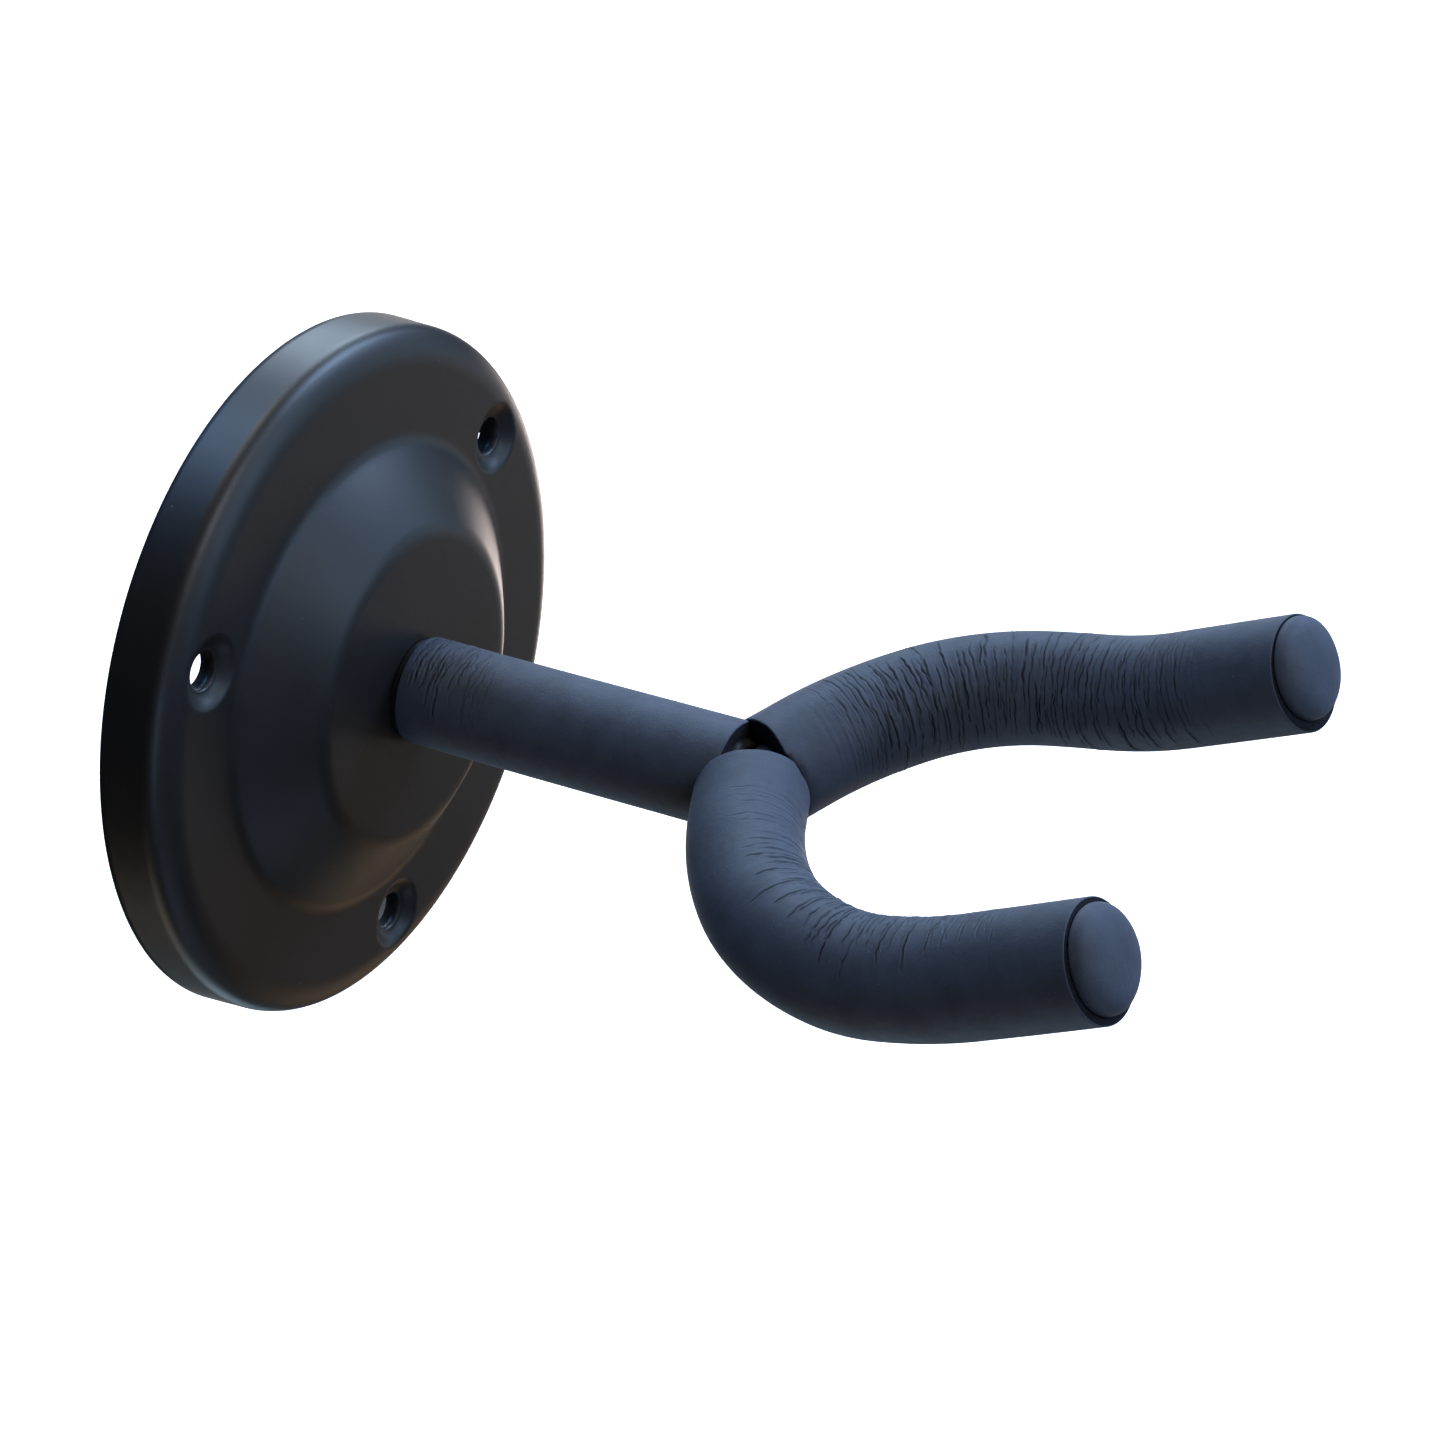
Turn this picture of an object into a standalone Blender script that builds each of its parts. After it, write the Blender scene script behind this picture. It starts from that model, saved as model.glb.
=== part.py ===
"""Wall guitar hanger: a pressed steel wall plate and a foam-covered yoke that swivels on it.

The wall is the plane y = 0 and the hanger stands out along -Y, with +Z up. The origin is the
middle of the plate's back, on the axis that the yoke turns about.
"""

import math

import bmesh
import bpy
import numpy as np
from mathutils import Matrix, Vector

MM = 0.001
GAP = 0.3 * MM

# Wall plate
PLATE_RADIUS = 50 * MM
SHEET = 1.5 * MM
WALL_LEAN = 0.6 * MM
CORNER_RADIUS = 2 * MM
CORNER_TURN = 62
FLANGE_RADIUS = 44.4 * MM
BEVEL_BEND = 0.9 * MM
FLANGE_HEIGHT = 9.85 * MM
BEVEL_DROP = 1.4 * MM
BOSS_BASE_RADIUS = 34.5 * MM
BOSS_TOP_RADIUS = 22.5 * MM
BOSS_HEIGHT = 17.4 * MM
HUB_HOLE_RADIUS = 4.6 * MM

# Screw holes, each in a pressed dimple
HOLE_CIRCLE_RADIUS = 41 * MM
HOLE_ANGLES = (26, 146, 266)
HOLE_RADIUS = 2.75 * MM
DIMPLE_RADIUS = 5 * MM
DIMPLE_DEPTH = 1.3 * MM

# Arm: one steel rod with a threaded tail, a collar and a foam sleeve
ROD_RADIUS = 4 * MM
THREAD_RADIUS = 3.7 * MM
THREAD_CHAMFER = 0.7 * MM
TAIL_END = 2.5 * MM
COLLAR_RADIUS = 5.9 * MM
COLLAR_THICKNESS = 2.6 * MM
FRONT_WASHER_RADIUS = 7.6 * MM
FRONT_WASHER_THICKNESS = 0.6 * MM
ARM_SLEEVE_RADIUS = 7.65 * MM
JUNCTION = 71.4 * MM
ARM_SLEEVE_END = 68.5 * MM
WELD_RADIUS = 5.4 * MM
WELD_LENGTH = 4.2 * MM
WELD_TOE_WIDTH = 0.6 * MM
WELD_TOE_LENGTH = 1.6 * MM

# Yoke: stations along one fork from the junction, and the heading and the pitch there
FORK_LENGTH = 84.4 * MM
HEADING_STATIONS = (0, 2.3 * MM, 8 * MM, 26.5 * MM, 52.6 * MM)
HEADINGS = (90, 66, 68, 47.2, -1.6)
PITCH_STATIONS = (45.2 * MM, 65.6 * MM)
PITCHES = (0, 20.8)
YOKE_TILT = 4.3
FORK_SLEEVE_RADIUS = 7.85 * MM
FORK_SLEEVE_START = 3.5 * MM
SLEEVE_EDGE = 0.4 * MM

# Tip caps
CAP_RADIUS = 6.7 * MM
CAP_HEIGHT = 2.8 * MM
CAP_LIFT = 0.4 * MM
CAP_STEM_LENGTH = 8 * MM
CAP_STEM_RADIUS = 3.9 * MM
DOME_TURN = 78

# Nut stack behind the hub
FLAT_WASHER_RADIUS = 9 * MM
FLAT_WASHER_THICKNESS = 1.6 * MM
SPRING_WASHER_RADIUS = 7.4 * MM
SPRING_WASHER_THICKNESS = 1.6 * MM
NUT_ACROSS_FLATS = 13 * MM
NUT_HEIGHT = 7.4 * MM
NUT_COLLAR_RADIUS = 6.2 * MM
NUT_FACE_RADIUS = 6.3 * MM
NUT_CHAMFER_SLOPE = math.tan(math.radians(30))
INSERT_RADIUS = 5.3 * MM
INSERT_THICKNESS = 2 * MM
WASHER_EDGE = 0.2 * MM

# Facets, rings along the yoke and steps in its length sum
PLATE_SIDES = 64
ROD_SIDES = 16
SLEEVE_SIDES = 20
SMALL_SIDES = 24
FORK_RINGS = 20
SUM_STEPS = 834

TURNED_UP = Matrix.Rotation(math.radians(90), 4, "X")


# Materials

def material(name, colour, roughness, metallic=0.0):
    made = bpy.data.materials.new(name)
    made.use_nodes = True
    shader = made.node_tree.nodes["Principled BSDF"]
    shader.inputs["Base Color"].default_value = (*colour, 1)
    shader.inputs["Roughness"].default_value = roughness
    shader.inputs["Metallic"].default_value = metallic
    return made


# Meshes

def clear_scene():
    for old in list(bpy.data.objects):
        bpy.data.objects.remove(old, do_unlink=True)


def add_object(name, bm, coat, helper=False):
    """A mesh object of this name, smooth where it is round. A helper is only a cutter."""
    bmesh.ops.recalc_face_normals(bm, faces=bm.faces[:])
    mesh = bpy.data.meshes.new(name)
    bm.to_mesh(mesh)
    bm.free()
    mesh.shade_smooth()
    mesh.set_sharp_from_angle(angle=math.radians(40))
    obj = bpy.data.objects.new(name, mesh)
    bpy.context.scene.collection.objects.link(obj)
    if coat:
        mesh.materials.append(coat)
    if helper:
        obj.hide_render = True
        obj.display_type = "WIRE"
    return obj


def turned(name, profile, sides, coat, helper=False):
    """A closed outline of (radius, height) points, spun about the local Z axis."""
    bm = bmesh.new()
    corners = [bm.verts.new((radius, 0, height)) for radius, height in profile]
    edges = [bm.edges.new(pair) for pair in zip(corners, corners[1:] + corners[:1])]
    bmesh.ops.spin(
        bm, geom=corners + edges, cent=(0, 0, 0), axis=(0, 0, 1),
        angle=2 * math.pi, steps=sides, use_merge=True,
    )
    bmesh.ops.remove_doubles(bm, verts=bm.verts[:], dist=1e-6)
    bmesh.ops.dissolve_degenerate(bm, edges=bm.edges[:], dist=1e-6)
    axis_edges = [edge for edge in bm.edges if not edge.link_faces]
    bmesh.ops.delete(bm, geom=axis_edges, context="EDGES")
    return add_object(name, bm, coat, helper)


def ring_outline(inner, outer, thickness):
    """The outline of a washer with its outer corners broken."""
    edge = WASHER_EDGE
    return [
        (inner, 0), (outer - edge, 0), (outer, edge),
        (outer, thickness - edge), (outer - edge, thickness), (inner, thickness),
    ]


def skin(name, rings, sides, coat, hollow, helper=False):
    """A surface through rings of (centre, direction, radius). A hollow one joins end to start."""
    bm = bmesh.new()
    loops = []
    for centre, direction, radius in rings:
        across = Vector((0, 0, 1)).cross(direction).normalized()
        up = direction.cross(across)
        turns = [2 * math.pi * i / sides for i in range(sides)]
        loops.append([
            bm.verts.new(centre + radius * (math.cos(a) * across + math.sin(a) * up))
            for a in turns
        ])
    pairs = list(zip(loops, loops[1:] + loops[:1])) if hollow else list(zip(loops, loops[1:]))
    for first, second in pairs:
        for i in range(sides):
            j = (i + 1) % sides
            bm.faces.new((first[i], first[j], second[j], second[i]))
    if not hollow:
        bm.faces.new(loops[0][::-1])
        bm.faces.new(loops[-1])
    return add_object(name, bm, coat, helper)


def boolean(obj, other, operation):
    modifier = obj.modifiers.new(other.name, "BOOLEAN")
    modifier.operation = operation
    modifier.object = other
    modifier.solver = "EXACT"


def on_axis(obj, height):
    """Stands a turned piece on the arm's axis, its own height 0 at this height off the wall."""
    obj.matrix_world = Matrix.Translation((0, -height, 0)) @ TURNED_UP


# Wall plate

def plate_front():
    """The plate's front outline as (radius, height), from the rim to the hub hole."""
    slope = math.radians(90 - CORNER_TURN)
    centre = (PLATE_RADIUS - WALL_LEAN - CORNER_RADIUS,
              FLANGE_HEIGHT - BEVEL_DROP - CORNER_RADIUS * math.cos(slope))
    points = [(PLATE_RADIUS, 0)]
    for turn in np.radians(np.linspace(0, CORNER_TURN, 5)):
        points.append((centre[0] + CORNER_RADIUS * math.cos(turn),
                       centre[1] + CORNER_RADIUS * math.sin(turn)))
    points += bevel_to_flange(Vector(points[-1]))
    for share in np.linspace(0, 1, 9):
        radius = BOSS_BASE_RADIUS + share * (BOSS_TOP_RADIUS - BOSS_BASE_RADIUS)
        rise = (1 - math.cos(math.pi * share)) / 2
        points.append((radius, FLANGE_HEIGHT + rise * (BOSS_HEIGHT - FLANGE_HEIGHT)))
    return points + [(HUB_HOLE_RADIUS, BOSS_HEIGHT)]


def bevel_to_flange(start):
    """The sloping band inside the rim's corner, bending gently into the flange."""
    bend = Vector((FLANGE_RADIUS + BEVEL_BEND, FLANGE_HEIGHT))
    end = Vector((FLANGE_RADIUS - BEVEL_BEND, FLANGE_HEIGHT))
    first, middle = start.lerp(bend, 0.5), bend.lerp(end, 0.5)
    return [tuple(first), tuple(first.lerp(middle, 0.5)), tuple(end)]


def offset_inwards(points, distance):
    """The outline moved into the sheet by this distance, along the normal at each point."""
    moved = [(points[0][0] - distance, points[0][1])]
    for before, here, after in zip(points, points[1:], points[2:]):
        along = (Vector(after) - Vector(before)).normalized()
        moved.append((here[0] + along.y * -distance, here[1] + along.x * distance))
    return moved + [(points[-1][0], points[-1][1] - distance)]


def dimple_outline(radius_change, depth_change, top):
    """The side of a dimple as (radius, height), grown by radius_change and depth_change."""
    steps = ((1, 0), (0.93, 0.12), (0.65, 0.82), (0.52, 1))
    side = [(DIMPLE_RADIUS * wide + radius_change, -DIMPLE_DEPTH * deep - depth_change)
            for wide, deep in steps]
    return [(0, top), (DIMPLE_RADIUS + radius_change, top)] + side


def make_plate(coat):
    front = plate_front()
    outline = front + offset_inwards(front, SHEET)[::-1]
    plate = turned("wall_plate", outline, PLATE_SIDES, coat)
    on_axis(plate, 0)
    below = -DIMPLE_DEPTH - 3 * SHEET
    cup = dimple_outline(0.4 * SHEET, SHEET, -0.5 * SHEET)
    bowl = dimple_outline(0, 0, SHEET) + [(HOLE_RADIUS, below)]
    for number, degrees in enumerate(HOLE_ANGLES, start=1):
        turn = math.radians(degrees)
        place = (HOLE_CIRCLE_RADIUS * math.cos(turn), -FLANGE_HEIGHT,
                 HOLE_CIRCLE_RADIUS * math.sin(turn))
        for kind, side, bottom, operation in (
            ("dimple_back", cup, cup[-1][1], "UNION"),
            ("dimple_front", bowl, below, "DIFFERENCE"),
        ):
            helper = turned(f"{kind}_{number}", side + [(0, bottom)], SMALL_SIDES, None, True)
            helper.matrix_world = Matrix.Translation(place) @ TURNED_UP
            boolean(plate, helper, operation)
    return plate


# Yoke route

def fork_table():
    """Places and directions along the right fork, from the junction out, by summing small steps."""
    stations = np.linspace(0, FORK_LENGTH, SUM_STEPS + 1)
    heading = np.radians(np.interp(stations, HEADING_STATIONS, HEADINGS))
    pitch = np.radians(np.interp(stations, PITCH_STATIONS, PITCHES))
    ways = np.stack([
        np.cos(pitch) * np.sin(heading), -np.cos(pitch) * np.cos(heading), np.sin(pitch),
    ], axis=1)
    steps = (ways[1:] + ways[:-1]) / 2 * stations[1]
    places = np.concatenate([np.zeros((1, 3)), np.cumsum(steps, axis=0)])
    return stations, places, ways


STATIONS, PLACES, WAYS = fork_table()


def fork_at(side, station):
    """The point and the direction at this station of the fork on this side, -1 left or +1 right."""
    def read(table):
        values = [np.interp(station, STATIONS, table[:, axis]) for axis in range(3)]
        return Vector((side * values[0], values[1], values[2]))

    tilt = Matrix.Rotation(math.radians(-YOKE_TILT), 3, "X")
    point = tilt @ read(PLACES) + Vector((0, -JUNCTION, 0))
    return point, (tilt @ read(WAYS)).normalized()


def fork_rings(side, stations, radii):
    return [(*fork_at(side, station), radius) for station, radius in zip(stations, radii)]


# Steel parts of the yoke

def bar_rings(end, radius):
    """Rings from the left end to the right one."""
    stations = np.linspace(0, end, FORK_RINGS + 2)
    left = [(point, -way, radius) for point, way, radius in
            fork_rings(-1, stations[:0:-1], [radius] * (FORK_RINGS + 1))]
    return left + fork_rings(1, stations, [radius] * (FORK_RINGS + 2))


def make_yoke_bar(coat):
    end = FORK_LENGTH - CAP_STEM_LENGTH - GAP
    return skin("yoke_bar", bar_rings(end, ROD_RADIUS), ROD_SIDES, coat, hollow=False)


def make_arm_rod(coat, bar_space):
    thread_end = BOSS_HEIGHT - SHEET
    outline = [
        (0, TAIL_END), (THREAD_RADIUS - THREAD_CHAMFER, TAIL_END),
        (THREAD_RADIUS, TAIL_END + THREAD_CHAMFER), (THREAD_RADIUS, thread_end),
        (ROD_RADIUS, thread_end + GAP), (ROD_RADIUS, JUNCTION), (0, JUNCTION),
    ]
    rod = turned("arm_rod", outline, ROD_SIDES, coat)
    on_axis(rod, 0)
    boolean(rod, bar_space, "DIFFERENCE")
    return rod


def make_weld(coat, bar_space):
    end = JUNCTION - ROD_RADIUS + GAP
    start = end - WELD_LENGTH
    outline = [
        (ROD_RADIUS + GAP, start), (WELD_RADIUS - WELD_TOE_WIDTH, start),
        (WELD_RADIUS, start + WELD_TOE_LENGTH), (WELD_RADIUS, end + ROD_RADIUS / 2),
        (ROD_RADIUS + GAP, end + ROD_RADIUS / 2),
    ]
    weld = turned("yoke_weld", outline, ROD_SIDES, coat)
    on_axis(weld, 0)
    boolean(weld, bar_space, "DIFFERENCE")
    return weld


def make_collar(coat):
    outline = ring_outline(ROD_RADIUS + GAP, COLLAR_RADIUS, COLLAR_THICKNESS)
    collar = turned("arm_collar", outline, SMALL_SIDES, coat)
    on_axis(collar, collar_start())
    return collar


def collar_start():
    return BOSS_HEIGHT + FRONT_WASHER_THICKNESS + 2 * GAP


# Foam sleeves and tip caps

def make_arm_sleeve(coat, cutters):
    start = collar_start()
    collar_end = start + COLLAR_THICKNESS + GAP
    weld_start = JUNCTION - ROD_RADIUS - WELD_LENGTH
    bore = ROD_RADIUS + GAP
    outline = [
        (COLLAR_RADIUS + GAP, start), (ARM_SLEEVE_RADIUS, start),
        (ARM_SLEEVE_RADIUS, ARM_SLEEVE_END), (WELD_RADIUS + GAP, ARM_SLEEVE_END),
        (WELD_RADIUS + GAP, weld_start), (bore, weld_start),
        (bore, collar_end), (COLLAR_RADIUS + GAP, collar_end),
    ]
    sleeve = turned("arm_sleeve", outline, SLEEVE_SIDES, coat)
    on_axis(sleeve, 0)
    for cutter in cutters:
        boolean(sleeve, cutter, "DIFFERENCE")
    return sleeve


def make_weld_space():
    """The space of the weld and the gap round it, which the fork sleeves keep clear of."""
    start = JUNCTION - ROD_RADIUS - WELD_LENGTH - GAP
    outline = [(0, start), (WELD_RADIUS + GAP, start), (WELD_RADIUS + GAP, JUNCTION), (0, JUNCTION)]
    space = turned("weld_space", outline, ROD_SIDES, None, True)
    on_axis(space, 0)
    return space


def make_fork_sleeve(name, side, coat, weld_space):
    """A tube round the fork, from beside the junction to its end."""
    stations = np.linspace(FORK_SLEEVE_START, FORK_LENGTH - SLEEVE_EDGE, FORK_RINGS)
    stations = np.append(stations, FORK_LENGTH)
    outer = [FORK_SLEEVE_RADIUS] * FORK_RINGS + [FORK_SLEEVE_RADIUS - SLEEVE_EDGE / 2]
    rings = fork_rings(side, stations, outer)
    rings += fork_rings(side, stations[::-1], [ROD_RADIUS + GAP] * (FORK_RINGS + 1))
    sleeve = skin(name, rings, SLEEVE_SIDES, coat, hollow=True)
    boolean(sleeve, weld_space, "DIFFERENCE")
    return sleeve


def make_fork_space(side):
    """The space of a fork's sleeve and the gap round it, near the junction."""
    stations = np.linspace(FORK_SLEEVE_START - GAP, 4 * FORK_SLEEVE_START, 5)
    rings = fork_rings(side, stations, [FORK_SLEEVE_RADIUS + GAP] * 5)
    name = "left_fork_space" if side < 0 else "right_fork_space"
    return skin(name, rings, SLEEVE_SIDES, None, hollow=False, helper=True)


def make_cap(name, side, coat):
    """A domed head on a stem that fills the sleeve's bore past the rod's end."""
    dome = [(CAP_RADIUS * math.cos(turn), CAP_HEIGHT * math.sin(turn))
            for turn in np.radians(np.linspace(0, DOME_TURN, 6))]
    outline = [(0, -CAP_STEM_LENGTH), (CAP_STEM_RADIUS, -CAP_STEM_LENGTH),
               (CAP_STEM_RADIUS, 0)] + dome + [(0, CAP_HEIGHT)]
    cap = turned(name, outline, SLEEVE_SIDES, coat)
    point, way = fork_at(side, FORK_LENGTH)
    turn = Vector((0, 0, 1)).rotation_difference(way).to_matrix().to_4x4()
    cap.matrix_world = Matrix.Translation(point + CAP_LIFT * way) @ turn
    return cap


# Washers and nut

def make_front_washer(coat):
    outline = ring_outline(ROD_RADIUS + GAP, FRONT_WASHER_RADIUS, FRONT_WASHER_THICKNESS)
    washer = turned("front_washer", outline, SMALL_SIDES, coat)
    on_axis(washer, BOSS_HEIGHT + GAP)
    return washer


def make_nut_stack(steel, zinc, nylon):
    """Flat washer, spring washer and lock nut, from the hub's back towards the wall."""
    bore = ROD_RADIUS + GAP
    height = BOSS_HEIGHT - SHEET - GAP - FLAT_WASHER_THICKNESS
    outline = ring_outline(bore, FLAT_WASHER_RADIUS, FLAT_WASHER_THICKNESS)
    flat = turned("flat_washer", outline, SMALL_SIDES, zinc)
    on_axis(flat, height)
    height -= GAP + SPRING_WASHER_THICKNESS
    outline = ring_outline(bore, SPRING_WASHER_RADIUS, SPRING_WASHER_THICKNESS)
    spring = turned("spring_washer", outline, SMALL_SIDES, steel)
    on_axis(spring, height)
    height -= GAP + NUT_HEIGHT
    return [flat, spring, make_nut(zinc, height), make_insert(nylon, height)]


def make_nut(coat, height):
    """A hexagon with its corners turned off, bored for the thread and for the nylon insert."""
    bm = bmesh.new()
    counterbore = INSERT_THICKNESS + 2 * GAP
    corner = NUT_ACROSS_FLATS / 2 / math.cos(math.radians(30))
    bmesh.ops.create_cone(
        bm, cap_ends=True, segments=6, radius1=corner, radius2=corner, depth=NUT_HEIGHT,
        matrix=Matrix.Translation((0, 0, NUT_HEIGHT / 2)),
    )
    nut = add_object("lock_nut", bm, coat)
    on_axis(nut, height)
    clear = corner + MM
    past_end = NUT_HEIGHT + NUT_CHAMFER_SLOPE * MM
    crown = [(0, -MM), (NUT_COLLAR_RADIUS, -MM), (NUT_COLLAR_RADIUS, counterbore),
             (clear, counterbore + NUT_CHAMFER_SLOPE * (clear - NUT_COLLAR_RADIUS)),
             (clear, NUT_HEIGHT - NUT_CHAMFER_SLOPE * (clear - NUT_FACE_RADIUS)),
             (NUT_FACE_RADIUS - MM, past_end), (0, past_end)]
    bore = [(0, -MM), (INSERT_RADIUS + GAP, -MM), (INSERT_RADIUS + GAP, counterbore),
            (THREAD_RADIUS + GAP, counterbore), (THREAD_RADIUS + GAP, NUT_HEIGHT + MM),
            (0, NUT_HEIGHT + MM)]
    for name, outline, operation in (("nut_crown", crown, "INTERSECT"),
                                     ("nut_bore", bore, "DIFFERENCE")):
        helper = turned(name, outline, SMALL_SIDES, None, True)
        on_axis(helper, height)
        boolean(nut, helper, operation)
    return nut


def make_insert(coat, height):
    outline = ring_outline(THREAD_RADIUS + GAP, INSERT_RADIUS, INSERT_THICKNESS)
    insert = turned("nylon_insert", outline, SMALL_SIDES, coat)
    on_axis(insert, height + GAP)
    return insert


def main():
    clear_scene()
    paint = material("plate_paint", (0.018, 0.019, 0.024), 0.38)
    steel = material("black_steel", (0.02, 0.02, 0.022), 0.45, 0.6)
    zinc = material("zinc_plate", (0.55, 0.56, 0.58), 0.35, 1.0)
    foam = material("foam", (0.045, 0.06, 0.09), 0.85)
    cap = material("cap_foam", (0.045, 0.06, 0.09), 0.8)
    plastic = material("black_plastic", (0.01, 0.01, 0.012), 0.5)
    nylon = material("nylon", (0.75, 0.75, 0.72), 0.5)

    make_plate(paint)
    bar_space = skin("bar_space", bar_rings(4 * FORK_SLEEVE_START, ROD_RADIUS + GAP),
                     ROD_SIDES, None, hollow=False, helper=True)
    spaces = [bar_space, make_fork_space(-1), make_fork_space(1)]
    weld_space = make_weld_space()
    moving = [
        make_front_washer(plastic),
        make_collar(steel),
        make_arm_rod(steel, bar_space),
        make_yoke_bar(steel),
        make_weld(steel, bar_space),
        make_arm_sleeve(foam, spaces),
        make_fork_sleeve("left_fork_sleeve", -1, foam, weld_space),
        make_fork_sleeve("right_fork_sleeve", 1, foam, weld_space),
        make_cap("left_tip_cap", -1, cap),
        make_cap("right_tip_cap", 1, cap),
        *make_nut_stack(steel, zinc, nylon),
    ]

    pivot = bpy.data.objects.new("yoke_swivel", None)
    bpy.context.scene.collection.objects.link(pivot)
    for piece in moving:
        piece.parent = pivot


main()
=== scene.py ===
"""Looks of the wall guitar hanger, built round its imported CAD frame.

Lengths are in metres. The wall is the plane y = 0, the arm stands out along -Y and +Z is up.
A height is a distance off the wall, so it is -y.
"""

import math

import bmesh
import bpy
import numpy as np
from mathutils import Matrix, Vector


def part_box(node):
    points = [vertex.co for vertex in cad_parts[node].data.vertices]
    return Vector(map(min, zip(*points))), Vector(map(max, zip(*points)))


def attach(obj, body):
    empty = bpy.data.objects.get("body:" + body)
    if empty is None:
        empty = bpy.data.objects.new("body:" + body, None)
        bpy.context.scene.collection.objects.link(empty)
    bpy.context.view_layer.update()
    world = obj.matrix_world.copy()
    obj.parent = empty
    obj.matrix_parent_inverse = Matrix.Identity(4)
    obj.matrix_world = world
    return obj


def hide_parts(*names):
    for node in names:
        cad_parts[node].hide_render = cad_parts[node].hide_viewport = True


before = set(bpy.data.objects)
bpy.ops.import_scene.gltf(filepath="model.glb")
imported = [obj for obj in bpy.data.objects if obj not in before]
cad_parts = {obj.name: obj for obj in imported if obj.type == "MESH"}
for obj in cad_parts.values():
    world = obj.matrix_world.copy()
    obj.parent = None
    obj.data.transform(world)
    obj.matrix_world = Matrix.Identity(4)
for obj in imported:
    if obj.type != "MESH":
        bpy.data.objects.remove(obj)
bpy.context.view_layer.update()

MM = 0.001
GAP = 0.3 * MM
WALL_BODY, YOKE_BODY = "wall_base", "yoke"


def heights(node):
    """(nearest, furthest) height off the wall of a CAD node."""
    low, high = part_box(node)
    return -high.y, -low.y


# How much nearer the wall the front washer and the arm's foam start than in the CAD, which hides
# its clearance gaps, and how far the washer's edge is drawn in
CLOSE_UP = 0.22 * MM
WASHER_INSET = 0.35 * MM

# Sizes read from the frame
PLATE_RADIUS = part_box("wall_plate")[1].x
BOSS_HEIGHT = heights("wall_plate")[1]
ARM_SLEEVE_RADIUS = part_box("arm_sleeve")[1].x
ARM_SLEEVE_START, ARM_SLEEVE_END = heights("arm_sleeve")
ROD_END = heights("arm_rod")[0]
ROD_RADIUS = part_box("arm_rod")[1].x
NUT_START, NUT_END = heights("lock_nut")
INSERT_START, INSERT_END = heights("nylon_insert")
FLAT_WASHER = (*heights("flat_washer"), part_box("flat_washer")[1].x)
SPRING_WASHER = (*heights("spring_washer"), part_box("spring_washer")[1].x)
FRONT_WASHER = (heights("front_washer")[0] - CLOSE_UP, heights("front_washer")[1],
                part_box("front_washer")[1].x - WASHER_INSET)

# Pressed plate, its angles in degrees. The sheet thickens to EDGE_SHEET at the rim's cut edge, each
# hole has a punched burr behind it, and the paint is worn on the left of the holes' front edges.
SHEET = 1.5 * MM
EDGE_SHEET = 2.2 * MM
EDGE_SHEET_REACH = 3 * MM
EDGE_CHAMFER = 0.15 * MM
RIM_LEAN = 3
CORNER_RADIUS = 2.8 * MM
FLANGE_RADIUS = 44.4 * MM
FLANGE_HEIGHT = 9.85 * MM
BAND_WIDTH = 4.2 * MM
BAND_SLOPE = 37
BOSS_BASE_RADIUS = 34.0 * MM
BOSS_TOP_RADIUS = 22.8 * MM
BASE_BEND = 1.2 * MM
TOP_BEND = 1.7 * MM
CONE_CROWN = 0.12 * MM
HUB_HOLE_RADIUS = 4.6 * MM
HOLE_CIRCLE_RADIUS = 41 * MM
HOLE_ANGLES = (26, 146, 266)
HOLE_RADIUS = 2.75 * MM
DIMPLE_RADIUS = 5.2 * MM
DIMPLE_DEPTH = 1.3 * MM
DIMPLE_FILLET = 0.35 * MM
DIMPLE_FLOOR = 0.56 * DIMPLE_RADIUS
EDGE_ROUND = 0.1 * MM
HOLE_BURRS = {26: 1.6 * MM, 146: 0.9 * MM, 266: 0.9 * MM}
WEAR_AMOUNT, WEAR_START, WEAR_SIDE = 0.55, 0.93, 0.3

# Plate mesh: a square block of cells over each hole, and even cells between the blocks
HOLE_BLOCK = 14 * MM
BLOCK_DROP = 1.4 * MM
TABLE_DROP = 1.5 * MM
BLOCK_CELLS = 40
BETWEEN_CELLS = 110
HOLE_RINGS = 26
RING_CROWDING = 0.85

# Yoke route, as in the CAD: stations from the junction, with the heading and the pitch there
JUNCTION = 71.4 * MM
FORK_LENGTH = 84.4 * MM
HEADING_STATIONS = (0, 2.3 * MM, 8 * MM, 26.5 * MM, 52.6 * MM)
HEADINGS = (90, 66, 68, 47.2, -1.6)
PITCH_STATIONS = (45.2 * MM, 65.6 * MM)
PITCHES = (0, 20.8)
YOKE_TILT = 4.3
FORK_SLEEVE_RADIUS = 7.85 * MM
FORK_SLEEVE_START = 3.5 * MM
SUM_STEPS = 834

# Foam sleeves: mesh, edges at the start and the end, and the bore's widened mouth
FINE_STEP = 0.12 * MM
COARSE_STEP = 0.8 * MM
BORE_MOUTH = 0.6 * MM
ARM_SIDES, FORK_SIDES = 144, 160
ARM_EDGE, FORK_EDGE = (0.35 * MM, 0.2 * MM), (0.2 * MM, 0.15 * MM)
ARM_FINE, FORK_FINE = (0, 15 * MM), (8 * MM, 75 * MM)
START_REACH = 1.6 * MM
REACH_FADE = 4 * MM
SLEEVE_APART = 0.06 * MM

# Slow swells of the foam, and puckers on the squeezed side in radians a metre
SWELL = 0.12 * MM
ARM_SWELL = 0.06 * MM
PUCKER_RATES = (2300, 3400, 5100)
PUCKER_DEPTH = 0.07 * MM

# One crack: its knots' spacing in radians, how far it wanders, how often it breaks, and its lips
CRACK_KNOT_TURN = 0.085
CRACK_DRIFT = 0.13 * MM
CRACK_JAG = 0.17 * MM
CRACK_SPAN = 3 * MM
CRACK_BREAKS = 0.10
LIP_SHARE, LIP_PLACE, LIP_WIDTH = 0.28, 2.6, 1.3
# Groove depth at which a crack's painted shade is darkest
CRACK_SHADE_DEPTH = 0.22 * MM

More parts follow.
